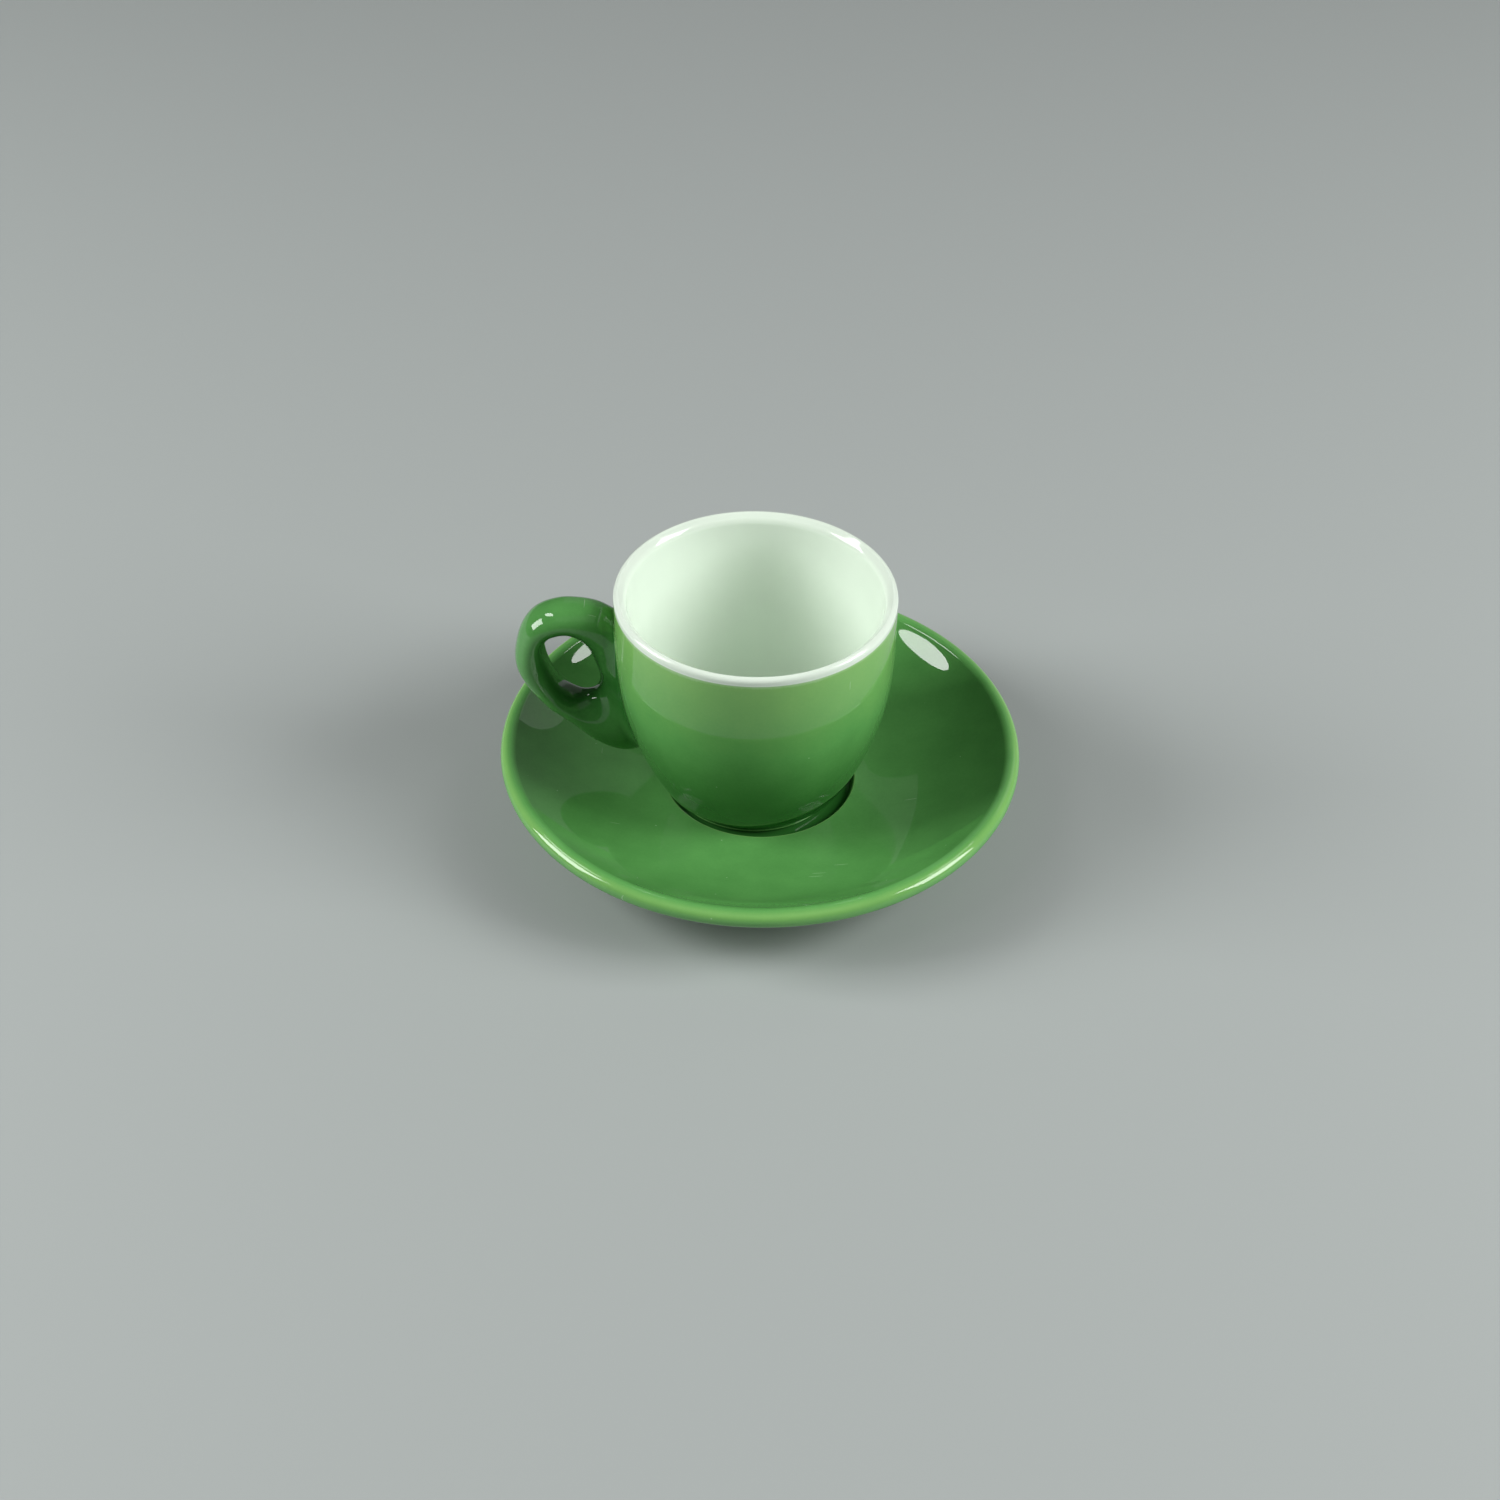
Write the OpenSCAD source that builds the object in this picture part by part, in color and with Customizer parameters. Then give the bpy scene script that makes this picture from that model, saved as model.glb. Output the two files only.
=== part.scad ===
// Espresso cup with saucer
// A thick porcelain cup with a closed loop handle, standing loose in the well of its saucer.
// The origin is the middle of the saucer's foot ring on the table, +Z is up,
// and the handle points along -X. Lengths are in millimetres.

/* [Cup] */
// Height of the cup from its foot to the rim
cup_h = 54.8; // [50:0.1:70]
// Outer radius of the upright part of the wall
cup_r = 31.45; // [29:0.05:36]
// Height above the foot at which the wall starts to curve in
curve_h = 40.5; // [36:0.5:44]
// Radius of the curve that draws the outside in to the foot
curve_r = 74; // [68:0.5:90]
// Radius of the curve that draws the inside in to the floor
bowl_curve_r = 66; // [60:0.5:70]
// Radius between the wall and the floor inside
bowl_r = 12; // [8:0.5:16]
// Thickness of the wall at the rim
wall_t = 2.8; // [2:0.1:3.6]
// Thickness of the floor inside the foot ring
floor_t = 4.2; // [3:0.1:6]

/* [Cup foot] */
// How far the foot ring stands in from the edge of the belly's underside
foot_inset = 1.78; // [1.2:0.02:4]
// Width of the foot ring
foot_w = 3.2; // [2.4:0.1:5]
// Depth of the hollow under the cup
foot_hollow = 2.2; // [1.6:0.1:3]
// Rounding where the belly turns under to the foot
belly_round = 1.2; // [0.8:0.1:2]
// Rounding of the foot ring's edges and of its corner under the belly
foot_round = 0.8; // [0.5:0.1:1]

/* [Handle] */
// Thickness of the loop on its outside, away from the cup
loop_t = 7; // [5.5:0.1:8.5]
// Width of the loop across the finger hole
loop_w = 11.2; // [8:0.1:13]
// Width of the finger hole
hole_w = 10.4; // [8.5:0.1:12]
// Height of the finger hole
hole_h = 18.6; // [15:0.1:21]
// Lean of the finger hole, its foot towards the cup
hole_lean = 18; // [10:1:26]
// Distance from the upright wall to the middle of the finger hole
hole_out = 9.7; // [9:0.1:11]
// Height of the middle of the finger hole above the foot
hole_z = 34.6; // [32:0.1:36]
// Radius of the fillet between the loop and the wall
loop_fillet = 2.6; // [1.5:0.1:3.5]

/* [Saucer] */
// Outer radius of the saucer
saucer_r = 60; // [54:0.5:70]
// Height of the saucer's rim above the table
saucer_h = 19; // [17:0.1:24]
// Thickness of the dish and of its rounded rim
dish_t = 4.1; // [3.2:0.1:5]
// Thickness of the floor under the well
well_t = 4; // [3:0.1:5]
// Depth of the well in which the cup stands
well_depth = 1.8; // [1.4:0.1:2.4]
// Rounding of the well's upper edge
well_lip = 0.6; // [0.5:0.05:1]
// Rounding between the well's wall and floor
well_round = 0.8; // [0.5:0.1:1.2]
// Outer radius of the saucer's foot ring
ring_r = 34; // [30:0.5:40]
// Width of the saucer's foot ring
ring_w = 3.6; // [2.8:0.1:5]
// Depth of the hollow inside the foot ring
ring_hollow = 2; // [1.5:0.1:3]
// Radius of the fillet between the foot ring and the underside
ring_fillet = 2.5; // [1.5:0.1:4]

/* [Glaze] */
// Thickness of the green glaze
glaze_t = 0.4; // [0.3:0.05:0.45]
// Height of the white band that is left at the cup's rim
lip_band = 1.8; // [1.5:0.1:4]
// Height of the bare porcelain that is left at both feet
bare_foot = 1; // [0.8:0.1:1.2]

/* [Fits] */
// Room between the cup's foot ring and the wall of the well
well_clearance = 2.65; // [2.2:0.05:4]
// Height of the belly's underside over the upper edge of the well
belly_clearance = 1.95; // [1.4:0.05:3]
// Film between a glaze and the porcelain below it
film_gap = 0.02; // [0.01:0.01:0.04]
// Slip joint between the handle and the glazed wall
slip_gap = 0.04; // [0.02:0.01:0.08]

/* [Hidden] */
$fn = 128;

// Straight pieces along a full quarter of a curve, a small rounding and half a rim
curve_steps = 14;
round_steps = 4;
rim_steps = 10;

// Sections around the loop, points around a section, and halvings of a search along a ray
loop_sections = 96;
section_points = 24;
search_steps = 24;

// Part of each half of a section that stays in the air where the section meets the wall
free_share = 0.75;

// Squareness of the finger hole: 2 is an ellipse
hole_power = 2.5;

// Thickness of the loop every 30 degrees, from its outside over the top to the wall and the tail,
// as shares of loop_t
loop_shares = [1.04, 1, 0.98, 1.06, 1.46, 1.38, 1.28, 1.95, 2.72, 1.06, 0.87, 0.92];

// How far the cup stands off the middle of its well, towards its handle, as a share of the clearance
cup_shift_share = 0.55;

// The foot ring stands the depth of the well, and a clearance lifts the belly over the well's edge
foot_h = well_depth + belly_clearance;

// The cup's outside: centre of the wall's curve, and of the rounding that ends it over the foot
wall_x = cup_r - curve_r;
belly_z = foot_h + belly_round;
belly_x = wall_x + sqrt(pow(curve_r - belly_round, 2) - pow(curve_h - belly_z, 2));
belly_angle = atan2(belly_z - curve_h, belly_x - wall_x);
foot_r = belly_x - foot_inset;

// The saucer's well takes the cup's foot
well_z = ring_hollow + well_t;
well_r = foot_r + well_clearance;
cup_shift = -cup_shift_share * well_clearance;

// The cup's inside: centre of the wall's curve, and of the rounding that turns it into the floor
floor_z = foot_hollow + floor_t;
inside_x = cup_r - wall_t - bowl_curve_r;
bowl_z = floor_z + bowl_r;
bowl_x = inside_x + sqrt(pow(bowl_curve_r - bowl_r, 2) - pow(curve_h - bowl_z, 2));
bowl_angle = atan2(bowl_z - curve_h, bowl_x - inside_x);
rim_round = wall_t / 2;

// The middle of the finger hole from the cup's axis, and half the loop's width, free and on the wall
hole_x = cup_r + hole_out;
half_w = loop_w / 2;
foot_side = half_w + loop_fillet;

// The saucer's dish is one arc from the well's edge to the rounded rim
rim_r = dish_t / 2;
rim_x = saucer_r - rim_r;
rim_z = saucer_h - rim_r;
dish_x = well_r + well_lip;
dish_z = well_z + well_depth;
dish_run = rim_x - dish_x;
dish_rise = rim_z - dish_z;
dish_r = (pow(dish_run, 2) + pow(dish_rise, 2) - pow(rim_r, 2)) / (2 * (dish_rise + rim_r));
dish_top_z = dish_z + dish_r;
rim_angle = atan2(rim_z - dish_top_z, dish_run);

// The underside runs parallel to the dish, down to a fillet on the foot ring
under_r = dish_r + dish_t;
ring_fillet_x = ring_r + ring_fillet;
ring_fillet_z = dish_top_z - sqrt(pow(under_r + ring_fillet, 2) - pow(ring_fillet_x - dish_x, 2));
ring_fillet_angle = atan2(dish_top_z - ring_fillet_z, dish_x - ring_fillet_x);

// Points of an arc about [x, z]
function arc(x, z, r, from, to, steps) =
    [for (i = [0:steps]) let (a = from + (to - from) * i / steps) [x + r * cos(a), z + r * sin(a)]];

function reversed(points) = [for (i = [len(points) - 1:-1:0]) points[i]];

// The cup's outside from the white band down to the bare foot, drawn in by an inset
function cup_outside(inset, top, bottom) = concat(
    [[cup_r - inset, top]],
    arc(wall_x, curve_h, curve_r - inset, 0, belly_angle, curve_steps),
    arc(belly_x, belly_z, belly_round - inset, belly_angle, -90, round_steps),
    arc(foot_r + foot_round, foot_h - foot_round, foot_round + inset, 90, 180, round_steps),
    [[foot_r - inset, bottom]]
);

// The cup's inside from the middle of the floor to the top of the rim and over it
function cup_inside() = concat(
    [[0, floor_z]],
    arc(bowl_x, bowl_z, bowl_r, -90, bowl_angle, curve_steps),
    arc(inside_x, curve_h, bowl_curve_r, bowl_angle, 0, curve_steps),
    arc(cup_r - rim_round, cup_h - rim_round, rim_round, 180, 0, rim_steps)
);

// A foot ring from its bare outside to the middle of the hollow that it encloses
function foot_ring(r, w, hollow, edge, bare) = concat(
    [[r, bare]],
    arc(r - edge, edge, edge, 0, -90, round_steps),
    arc(r - w + edge, edge, edge, -90, -180, round_steps),
    arc(r - w - edge, hollow - edge, edge, 0, 90, round_steps),
    [[0, hollow]]
);

// The saucer's outside from the middle of the well over the rim to the bare foot, drawn in by an inset
function saucer_outside(inset, bottom) = concat(
    [[0, well_z - inset]],
    arc(well_r - well_round, well_z + well_round, well_round + inset, -90, 0, round_steps),
    arc(dish_x, dish_z - well_lip, well_lip - inset, 180, 90, round_steps),
    arc(dish_x, dish_top_z, dish_r + inset, -90, rim_angle, curve_steps),
    arc(rim_x, rim_z, rim_r - inset, rim_angle + 180, rim_angle, rim_steps),
    arc(dish_x, dish_top_z, under_r - inset, rim_angle, ring_fillet_angle - 180, curve_steps),
    arc(ring_fillet_x, ring_fillet_z, ring_fillet + inset, ring_fillet_angle, 180, round_steps),
    [[ring_r - inset, bottom]]
);

// A coat of glaze between an outside and the same outside drawn in
function coat(outer, inner) = concat(outer, reversed(inner));

// Radius of the glazed wall at a height above the foot
function wall_at(z) =
    z >= curve_h ? cup_r : wall_x + sqrt(pow(curve_r, 2) - pow(curve_h - z, 2));

// Distance from the middle of the finger hole to its edge, in the direction a
function hole_edge(a) =
    let (t = a + hole_lean)
    pow(pow(abs(cos(t)) / (hole_w / 2), hole_power) + pow(abs(sin(t)) / (hole_h / 2), hole_power),
        -1 / hole_power);

// Thickness of the loop in the direction a: a closed cubic through loop_shares
function loop_at(a) =
    let (
        n = len(loop_shares),
        s = a / 360 * n,
        i = floor(s),
        w = s - i,
        p = loop_shares[(i + n - 1) % n],
        q = loop_shares[i % n],
        r = loop_shares[(i + 1) % n],
        t = loop_shares[(i + 2) % n]
    )
    loop_t * (q + w * ((r - p) + w * ((2 * p - 5 * q + 4 * r - t) + w * (3 * (q - r) + t - p))) / 2);

// Reach of the oval section about the ray a, at the turn f from the hole's edge to its far side
function reach(a, f) = hole_edge(a) + loop_at(a) * (1 - cos(f)) / 2;

// Gap between the wall and a point on the ray a, r from the middle of the hole and y off its plane
function wall_gap(a, r, y) =
    norm([hole_x + r * cos(a), y]) - wall_at(hole_z + r * sin(a)) - slip_gap;

// How far along the ray a the wall is met, found by halving
function seat(a, y, low, high, steps) =
    let (middle = (low + high) / 2)
    steps == 0 ? low
    : wall_gap(a, middle, y) > 0 ? seat(a, y, middle, high, steps - 1)
    : seat(a, y, low, middle, steps - 1);

// The turn at which a section meets the wall, or half a turn where it stays clear of it
function contact(a, low, high, steps) =
    let (middle = (low + high) / 2)
    steps == 0 ? high
    : wall_gap(a, reach(a, middle), foot_side * sin(middle)) > 0 ? contact(a, middle, high, steps - 1)
    : contact(a, low, middle, steps - 1);

// Widening of the section into a fillet as the gap to the wall closes
function flare(gap) =
    let (d = loop_fillet - min(max(gap, 0), loop_fillet))
    loop_fillet - sqrt(pow(loop_fillet, 2) - pow(d, 2));

// How far a point lies off the plane of the hole: a share of the half width and of its fillet
function side(a, r, share, low, high, steps) =
    let (middle = (low + high) / 2)
    steps == 0 ? middle
    : middle > share * (half_w + flare(wall_gap(a, r, middle))) ? side(a, r, share, low, middle, steps - 1)
    : side(a, r, share, middle, high, steps - 1);

// The turn of a section's point, with the points past the free share of each half kept for the wall
function turn(touch, share) =
    let (edge = min(touch, 180 * free_share))
    share < free_share
        ? edge * share / free_share
        : edge + (180 - edge) * (share - free_share) / (1 - free_share);

// A point of the loop: an oval section about the ray a, widened near the wall and cut off on it
function loop_point(a, touch, half, share) =
    let (
        f = turn(touch, share),
        wide = sin(f),
        y = side(a, reach(a, f), wide, wide * half_w, wide * foot_side, search_steps),
        r = wall_gap(a, reach(a, f), y) > 0 ? reach(a, f) : seat(a, y, 0, reach(a, f), search_steps)
    )
    [-hole_x - r * cos(a), half * y, hole_z + r * sin(a)];

// One section of the loop, from the hole's edge round both halves
function section(a) =
    let (
        touch = contact(a, 0, 180, search_steps),
        n = section_points / 2
    )
    concat(
        [for (j = [0:n - 1]) loop_point(a, touch, 1, j / n)],
        [for (j = [n:-1:1]) loop_point(a, touch, -1, j / n)]
    );

// The cup's pieces stand together in the well
module in_well() {
    translate([cup_shift, 0, well_z]) children();
}

// White porcelain body: bowl, rim and foot ring, recessed for the glaze
module cup_body() {
    color("#eef3ea") in_well() rotate_extrude() polygon(concat(
        cup_inside(),
        [[cup_r, cup_h - lip_band]],
        cup_outside(glaze_t, cup_h - lip_band, bare_foot),
        foot_ring(foot_r, foot_w, foot_hollow, foot_round, bare_foot)
    ));
}

// Green glaze on the outside of the cup, flush with the white rim and the bare foot
module cup_glaze() {
    color("#4a9344") in_well() rotate_extrude() polygon(coat(
        cup_outside(0, cup_h - lip_band - film_gap, bare_foot + film_gap),
        cup_outside(glaze_t - film_gap, cup_h - lip_band - film_gap, bare_foot + film_gap)
    ));
}

// Loop handle: oval sections around the finger hole, let into the wall, with a tail that runs down it
module handle() {
    points = [for (i = [0:loop_sections - 1]) each section(i * 360 / loop_sections)];
    function at(i, j) = (i % loop_sections) * section_points + j % section_points;
    faces = [for (i = [0:loop_sections - 1], j = [0:section_points - 1], half = [0, 1])
        half == 0
            ? [at(i, j), at(i + 1, j), at(i + 1, j + 1)]
            : [at(i, j), at(i + 1, j + 1), at(i, j + 1)]];
    color("#43893e") in_well() polyhedron(points, faces);
}

// White porcelain saucer: well, dish, rounded rim and foot ring, recessed for the glaze
module saucer_body() {
    color("#e9efe6") rotate_extrude() polygon(concat(
        saucer_outside(glaze_t, bare_foot),
        foot_ring(ring_r, ring_w, ring_hollow, foot_round, bare_foot)
    ));
}

// Green glaze over the well, the dish, the rim and the underside down to the bare foot
module saucer_glaze() {
    color("#4f984a") rotate_extrude() polygon(coat(
        saucer_outside(0, bare_foot + film_gap),
        saucer_outside(glaze_t - film_gap, bare_foot + film_gap)
    ));
}

cup_body();
cup_glaze();
handle();
saucer_body();
saucer_glaze();
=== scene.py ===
"""Espresso cup with saucer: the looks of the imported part.

Every piece is a numpy surface in the part's own frame, in metres, and rides on a CAD body.
"""

import math

import bpy
import numpy as np
from mathutils import Matrix, Vector


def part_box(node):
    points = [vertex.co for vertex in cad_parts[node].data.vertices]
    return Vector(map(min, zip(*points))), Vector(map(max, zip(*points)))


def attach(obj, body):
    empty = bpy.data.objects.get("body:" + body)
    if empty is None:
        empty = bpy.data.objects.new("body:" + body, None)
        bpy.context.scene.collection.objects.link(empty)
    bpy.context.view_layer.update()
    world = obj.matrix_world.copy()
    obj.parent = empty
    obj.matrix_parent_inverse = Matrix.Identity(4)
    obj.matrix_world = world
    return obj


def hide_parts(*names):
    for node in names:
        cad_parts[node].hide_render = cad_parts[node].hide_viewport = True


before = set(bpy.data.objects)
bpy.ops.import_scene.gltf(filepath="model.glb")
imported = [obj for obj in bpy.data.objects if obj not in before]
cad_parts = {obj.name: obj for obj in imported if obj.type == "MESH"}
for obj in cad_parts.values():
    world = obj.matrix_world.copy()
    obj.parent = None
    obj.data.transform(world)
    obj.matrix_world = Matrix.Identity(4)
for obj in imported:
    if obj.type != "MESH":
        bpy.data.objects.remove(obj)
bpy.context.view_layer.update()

bl_info = {
    "name": "Espresso cup with saucer",
    "version": (1, 0, 0),
    "blender": (4, 5, 0),
    "location": "View3D > Sidebar > Cup",
    "description": "Builds a glazed porcelain espresso cup on its saucer",
    "category": "Add Mesh",
}

MM = 0.001
QUARTER_TURN = math.pi / 2
HALF_TURN = math.pi
FULL_TURN = 2 * math.pi


def linear(code):
    """An sRGB hex colour as linear red, green and blue."""
    parts = np.array([int(code[i:i + 2], 16) for i in (1, 3, 5)]) / 255
    parts = np.where(parts <= 0.04045, parts / 12.92, ((parts + 0.055) / 1.055) ** 2.4)
    return tuple(map(float, parts))


def length(name, description, value_mm):
    """A length property whose default is given in millimetres."""
    return bpy.props.FloatProperty(
        name=name, description=description, default=value_mm * MM, min=0, unit="LENGTH", precision=5)


def angle(name, description, degrees):
    """An angle property whose default is given in degrees."""
    return bpy.props.FloatProperty(
        name=name, description=description, default=math.radians(degrees), subtype="ANGLE")


def colour(name, description, code):
    """A colour property whose default is an sRGB hex value."""
    return bpy.props.FloatVectorProperty(
        name=name, description=description, default=linear(code), min=0, max=1, subtype="COLOR")


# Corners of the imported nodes, and the middle of the cup's foot.
CUP_LOW, CUP_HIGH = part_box("cup_body")
SAUCER_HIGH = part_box("saucer_glaze")[1]
CUP_PLACE = np.array([(CUP_LOW.x + CUP_HIGH.x) / 2, 0, CUP_LOW.z])


class CupSizes(bpy.types.PropertyGroup):
    """Sizes of the cup, its foot and its glaze."""
    height: length("Height", "From the foot to the rim", (CUP_HIGH.z - CUP_LOW.z) / MM)
    radius: length("Radius", "Of the upright part of the wall", (CUP_HIGH.x - CUP_LOW.x) / 2 / MM)
    curve_height: length("Curve height", "Where the wall starts to curve in", 40.5)
    curve_radius: length("Curve radius", "Of the outside that draws in to the foot", 74)
    bowl_curve_radius: length("Bowl curve radius", "Of the inside that draws in to the floor", 500)
    bowl_flare: angle("Bowl flare", "Of the inside just below the lip", 6)
    bowl_radius: length("Bowl radius", "Between the wall and the floor inside", 12)
    wall: length("Wall", "Thickness just below the lip", 2.8)
    floor: length("Floor", "Thickness inside the foot ring", 4.2)
    foot_height: length("Foot height", "From the foot's face to the belly", 3.75)
    foot_inset: length("Foot inset", "From the belly's rounding in to the foot ring", 1.78)
    foot_width: length("Foot width", "Of the foot ring", 3.2)
    foot_hollow: length("Foot hollow", "Depth under the cup", 2.2)
    belly_round: length("Belly rounding", "Where the belly turns under", 1.2)
    foot_round: length("Foot rounding", "Of the foot ring's edges", 0.8)
    glaze: length("Glaze", "Thickness of the green coat", 0.4)
    film: length("Film", "Between a coat and the porcelain below it", 0.02)
    lip_band: length("Lip band", "White left at the rim", 1.8)
    bare_foot: length("Bare foot", "Porcelain left without the coat", 0.85)
    wiped_foot: length("Wiped foot", "Height up to which the foot was wiped clean", 0.15)
    lip_outer: length("Outer lip rounding", "From the top of the rim outwards", 1.0)
    lip_inner: length("Inner lip rounding", "From the top of the rim inwards", 0.4)
    lip_edge: length("Lip edge", "Rounding between the inside and the slope up to the rim", 2.4)
    lip_slope: angle("Lip slope", "From the inside out to the top of the rim", 41)
    coat_fade: length("Coat fade", "Over which the sprayed green comes in below the white band", 0.3)


class HandleSizes(bpy.types.PropertyGroup):
    """Sizes of the loop handle."""
    thickness: length("Thickness", "Of the loop on its outside", 7)
    width: length("Width", "Across the finger hole", 11.2)
    hole_width: length("Hole width", "Of the finger hole", 10.4)
    hole_height: length("Hole height", "Of the finger hole", 18.6)
    lean: angle("Lean", "Of the finger hole, its foot towards the cup", 18)
    hole_out: length("Hole distance", "From the wall to the middle of the hole", 9.7)
    hole_z: length("Hole height over the foot", "Of the middle of the hole", 34.6)
    fillet: length("Fillet", "Between the loop and the wall", 2.6)
    seat: length("Seat", "Slip joint on the wall", 0.04)


class SaucerSizes(bpy.types.PropertyGroup):
    """Sizes of the saucer, its well, its foot and its glaze."""
    radius: length("Radius", "Of the rim", SAUCER_HIGH.x / MM)
    height: length("Height", "Of the rim over the table", 19)
    thickness: length("Thickness", "Of the dish and its rounded rim", 4.1)
    rim_inner: length("Inner rim rounding", "From the dish up to the crest of the rim", 2.6)
    well_floor: length("Well floor", "Height of the floor in the well", 6)
    well_radius: length("Well radius", "Of the well's wall", 21.85)
    well_depth: length("Well depth", "From the dish to the floor", 1.8)
    well_lip: length("Well lip", "Rounding of the well's upper edge", 0.6)
    well_round: length("Well rounding", "Between the well's wall and floor", 0.8)
    ring_radius: length("Ring radius", "Of the foot ring", 34)
    ring_width: length("Ring width", "Of the foot ring", 3.6)
    ring_hollow: length("Ring hollow", "Depth inside the foot ring", 2)
    ring_fillet: length("Ring fillet", "Between the foot ring and the underside", 2.5)
    ring_round: length("Ring rounding", "Of the foot ring's edges", 0.8)
    glaze: length("Glaze", "Thickness of the green coat", 0.4)
    film: length("Film", "Between the coat and the porcelain below it", 0.02)
    bare_foot: length("Bare foot", "Porcelain left without glaze", 1)


class Finishes(bpy.types.PropertyGroup):
    """Colours of the glazes, the porcelain and the table."""
    green: colour("Green glaze", "Where the coat has its usual depth", "#61a457")
    # Also the colour that painted light turns the coat to.
    green_thin_and_lit: colour("Thin green glaze", "On edges, where the coat runs thin", "#86bf68")
    green_mist: colour("Green mist", "Where the spray ends and the white shows through", "#c3dfba")
    # Also the colour that painted shade turns the coat to.
    green_deep_and_shade: colour("Deep green glaze", "In corners, where the coat pools", "#2d6a2a")
    white: colour("White glaze", "Clear glaze on white porcelain", "#e8f5e6")
    bare: colour("Bare porcelain", "The unglazed feet", "#d9d6cc")
    table: colour("Table", "The pale grey table", "#a9afad")


class StageSettings(bpy.types.PropertyGroup):
    """Where the camera stands and how it looks."""
    lens: bpy.props.FloatProperty(
        name="Lens", description="Focal length on a 36 mm frame", default=57.6, unit="CAMERA")
    distance: length("Distance", "From the camera to its target", 558.44)
    elevation: angle("Elevation", "Of the camera over the table", 40.42)
    roll: angle("Roll", "Of the camera about its own axis", 0.68)
    target: bpy.props.FloatVectorProperty(
        name="Target", description="Point that the camera looks at",
        default=(-2.32 * MM, 0, 14.8 * MM), subtype="XYZ", unit="LENGTH", precision=5)


# Profiles: runs of points, each a radius and a height

# Points of a profile that lie closer than this are one point.
SAME_POINT = 1e-7


def arc(x, z, radius, start, end, rows):
    """Points of an arc: its centre plus the radius times cosine and sine of even angles."""
    around = np.linspace(start, end, rows)
    return np.stack([x + radius * np.cos(around), z + radius * np.sin(around)], axis=1)


def line(start, end, rows):
    """Even points between two points."""
    share = np.linspace(0, 1, rows)[:, None]
    return (1 - share) * np.array(start) + share * np.array(end)


def chain(*runs):
    """Joins runs of points into one profile and drops a point that repeats the one before it."""
    points = np.concatenate(runs)
    step = np.linalg.norm(np.diff(points, axis=0), axis=1)
    return points[np.concatenate([[True], step > SAME_POINT])]


def belly(cup):
    """Middle of the rounding under the belly, which touches the wall's wide arc from inside: the wide
    arc's middle plus the root of the radii's difference squared less the drop squared."""
    z = cup.foot_height + cup.belly_round
    reach = math.sqrt((cup.curve_radius - cup.belly_round) ** 2 - (cup.curve_height - z) ** 2)
    return cup.radius - cup.curve_radius + reach, z


def foot_radius(cup):
    """Outer radius of the cup's foot ring: the middle of the belly's rounding less the inset."""
    return belly(cup)[0] - cup.foot_inset


def cup_outside(cup, inset, top, bottom):
    """The cup's outside from the white band down to the bare foot, drawn in by an inset:
    an upright line, a wide arc, a small rounding, the underside of the belly and the foot."""
    wall_x = cup.radius - cup.curve_radius
    belly_x, belly_z = belly(cup)
    turn = math.atan2(belly_z - cup.curve_height, belly_x - wall_x)
    foot = foot_radius(cup)
    under_z = cup.foot_height + inset
    corner_x, corner_z = foot + cup.foot_round, cup.foot_height - cup.foot_round
    return chain(
        line((cup.radius - inset, top), (cup.radius - inset, cup.curve_height), rows=16),
        arc(wall_x, cup.curve_height, cup.curve_radius - inset, 0, turn, rows=64),
        arc(belly_x, belly_z, cup.belly_round - inset, turn, -QUARTER_TURN, rows=12),
        line((belly_x, under_z), (corner_x, under_z), rows=4),
        arc(corner_x, corner_z, cup.foot_round + inset, QUARTER_TURN, HALF_TURN, rows=10),
        line((foot - inset, corner_z), (foot - inset, bottom), rows=8))


def cup_inside(cup):
    """The cup's inside from the middle of the floor over the rim: floor, rounding, a wide arc that
    flares up to the lip, a soft edge, a straight slope out to the rim and two turns over its top.
    The slope touches the soft edge and the inner turn, so both reach equally far along its normal."""
    floor_z = cup.foot_hollow + cup.floor
    rim_x = cup.radius - cup.lip_outer
    rim_z = cup.height - cup.lip_inner
    normal = QUARTER_TURN + cup.lip_slope
    edge_x = cup.radius - cup.wall + cup.lip_edge * math.cos(cup.bowl_flare)
    along_normal = cup.lip_inner - cup.lip_edge + (rim_x - edge_x) * math.cos(normal)
    edge_z = rim_z + along_normal / math.sin(normal)
    wide_x = edge_x - (cup.lip_edge + cup.bowl_curve_radius) * math.cos(cup.bowl_flare)
    wide_z = edge_z + (cup.lip_edge + cup.bowl_curve_radius) * math.sin(cup.bowl_flare)
    bowl_z = floor_z + cup.bowl_radius
    bowl_x = wide_x + math.sqrt((cup.bowl_curve_radius - cup.bowl_radius) ** 2 - (wide_z - bowl_z) ** 2)
    turn = math.atan2(bowl_z - wide_z, bowl_x - wide_x)
    return chain(
        line((0, floor_z), (bowl_x, floor_z), rows=10),
        arc(bowl_x, bowl_z, cup.bowl_radius, -QUARTER_TURN, turn, rows=36),
        arc(wide_x, wide_z, cup.bowl_curve_radius, turn, -cup.bowl_flare, rows=48),
        arc(edge_x, edge_z, cup.lip_edge, HALF_TURN - cup.bowl_flare, normal, rows=16),
        arc(rim_x, rim_z, cup.lip_inner, normal, QUARTER_TURN, rows=10),
        arc(rim_x, cup.height - cup.lip_outer, cup.lip_outer, QUARTER_TURN, 0, rows=14))


def ring_foot(radius, width, hollow, edge, bare):
    """A foot ring from its bare outside to the middle of the hollow that it encloses: a line, two
    rounded edges below, a rounding up into the hollow and its level roof."""
    inner = radius - width
    return chain(
        line((radius, bare), (radius, edge), rows=4),
        arc(radius - edge, edge, edge, 0, -QUARTER_TURN, rows=10),
        arc(inner + edge, edge, edge, -QUARTER_TURN, -HALF_TURN, rows=10),
        arc(inner - edge, hollow - edge, edge, 0, QUARTER_TURN, rows=10),
        line((inner - edge, hollow), (0, hollow), rows=10))


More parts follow.
